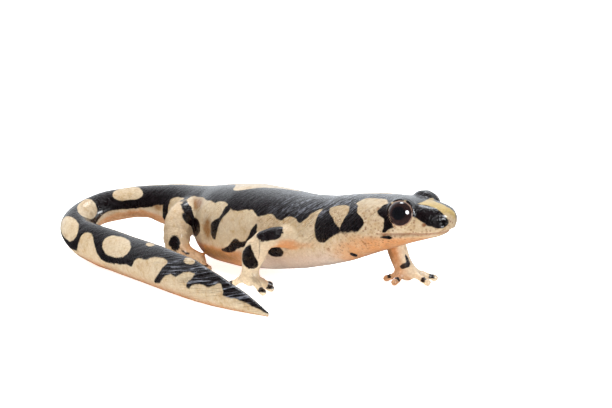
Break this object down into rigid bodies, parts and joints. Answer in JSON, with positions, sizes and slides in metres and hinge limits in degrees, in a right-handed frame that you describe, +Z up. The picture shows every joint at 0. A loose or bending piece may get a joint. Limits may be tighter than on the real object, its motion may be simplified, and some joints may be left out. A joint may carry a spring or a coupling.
{
  "type": "spotted newt model",
  "caption": "Life-size still model of a spotted newt walking on the floor, head raised, with its tail curled round its right side.",
  "frame": {"origin": "centre of the bounding box in plan, on the floor that the feet and tail rest on", "axes": "+X forward along the trunk towards the head, +Y to the newt's left, +Z up"},
  "size_m": [0.0632, 0.0336, 0.0147],
  "materials": {
    "skin": "moist, satin gloss",
    "eyes": "wet gloss"
  },
  "bodies": {
    "root": {"eye_left": "eyes", "eye_right": "eyes", "foot_left": "skin", "foot_right": "skin", "forearm_left": "skin", "forearm_right": "skin", "hand_left": "skin", "hand_right": "skin", "head": "skin", "lower_jaw": "skin", "neck": "skin", "pelvis": "skin", "shank_left": "skin", "shank_right": "skin", "tail_bend_far": "skin", "tail_bend_left": "skin", "tail_bend_near": "skin", "tail_middle": "skin", "tail_rear": "skin", "tail_root": "skin", "tail_side": "skin", "tail_tip": "skin", "thigh_left": "skin", "thigh_right": "skin", "torso_front": "skin", "torso_middle": "skin", "torso_rear": "skin", "upper_arm_left": "skin", "upper_arm_right": "skin"}
  },
  "joints": []
}
